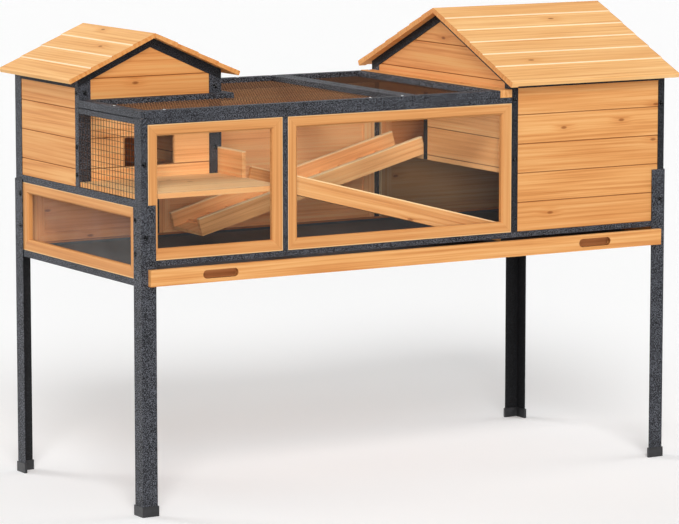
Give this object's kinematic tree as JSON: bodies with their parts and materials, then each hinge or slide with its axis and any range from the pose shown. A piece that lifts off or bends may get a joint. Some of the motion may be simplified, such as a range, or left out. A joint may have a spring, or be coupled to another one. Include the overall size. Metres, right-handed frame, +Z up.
{
  "type": "tortoise terrarium on a stand",
  "caption": "Raised wooden tortoise habitat: two gabled houses joined by an upper deck and ramps, clear windows, net lids, a pull-out tray and an angle-steel stand.",
  "frame": {"origin": "on the ground, under the middle of the whole habitat with its roofs", "axes": "+X along the front towards the larger house, +Y from the windowed front to the back, +Z up"},
  "size_m": [1.5018, 0.707, 1.106],
  "materials": {
    "hammered_steel": "dark blue-grey hammered powder coat",
    "black_plastic": "matt black moulded cap",
    "window_pine": "honey-stained pine, satin",
    "wall_pine": "honey-stained grooved boards with knots, satin",
    "roof_pine": "pale honey-stained lapped boards, satin",
    "floor_pine": "honey-stained boards, satin",
    "ramp_pine": "red-brown stained boards, satin",
    "panel_pine": "red-brown stained panels, satin",
    "tray_wood": "stained board with a dark waterproof lining",
    "lid_steel": "dark powder-coated frame with brown welded net",
    "brown_net": "brown coated welded wire",
    "acrylic": "clear acrylic sheet"
  },
  "bodies": {
    "cage": {"leg_front_left": "hammered_steel", "leg_front_right": "hammered_steel", "leg_back_left": "hammered_steel", "leg_back_right": "hammered_steel", "post_front_left": "hammered_steel", "post_front_right": "hammered_steel", "post_back_left": "hammered_steel", "post_back_right": "hammered_steel", "post_front_middle": "hammered_steel", "left_house_post_left": "hammered_steel", "left_house_post_right": "hammered_steel", "left_house_post_back": "hammered_steel", "right_house_post_front": "hammered_steel", "right_house_post_back": "hammered_steel", "rail_front_bottom": "hammered_steel", "rail_front_top": "hammered_steel", "rail_back_bottom": "hammered_steel", "rail_back_top": "hammered_steel", "rail_left_bottom": "hammered_steel", "rail_right_bottom": "hammered_steel", "rail_left_middle": "hammered_steel", "left_house_rafter_front": "hammered_steel", "left_house_rafter_back": "hammered_steel", "right_house_rafter_left": "hammered_steel", "right_house_rafter_right": "hammered_steel", "foot_front_left": "black_plastic", "foot_front_right": "black_plastic", "foot_back_left": "black_plastic", "foot_back_right": "black_plastic", "front_window_left": "window_pine", "front_window_right": "window_pine", "side_window": "window_pine", "front_pane_left": "acrylic", "front_pane_right": "acrylic", "side_pane": "acrylic", "left_house_front_wall": "wall_pine", "left_house_left_wall": "wall_pine", "left_house_right_wall": "wall_pine", "left_house_back_gable": "wall_pine", "right_house_front_wall": "wall_pine", "right_house_left_wall": "wall_pine", "right_house_right_wall": "wall_pine", "left_house_roof_left": "roof_pine", "left_house_roof_right": "roof_pine", "right_house_roof_front": "roof_pine", "right_house_roof_back": "roof_pine", "upper_platform": "floor_pine", "right_house_floor": "floor_pine", "platform_fence": "floor_pine", "long_ramp": "ramp_pine", "short_ramp": "ramp_pine", "side_net": "brown_net", "middle_back_panel": "panel_pine", "fixed_lid": "lid_steel", "lid_batten": "window_pine"},
    "tray": {"tray_box": "tray_wood", "tray_front": "window_pine"},
    "lid": {"hinged_lid": "lid_steel"},
    "left_door": {"left_house_back_door": "panel_pine"},
    "right_door": {"right_house_back_door": "panel_pine"}
  },
  "joints": [
    {"name": "tray_slide", "type": "slide", "parent": "cage", "child": "tray", "axis": [0, -1, 0], "range_m": [0, 0.45]},
    {"name": "lid_hinge", "type": "hinge", "parent": "cage", "child": "lid", "pos_m": [0.12805, 0.324, 0.9123], "axis": [-1, 0, 0], "range_deg": [0, 105]},
    {"name": "left_door_hinge", "type": "hinge", "parent": "cage", "child": "left_door", "pos_m": [-0.67505, 0.323, 0.726], "axis": [0, 0, 1], "range_deg": [0, 110]},
    {"name": "right_door_hinge", "type": "hinge", "parent": "cage", "child": "right_door", "pos_m": [0.69035, 0.323, 0.742], "axis": [0, 0, -1], "range_deg": [0, 110]}
  ]
}
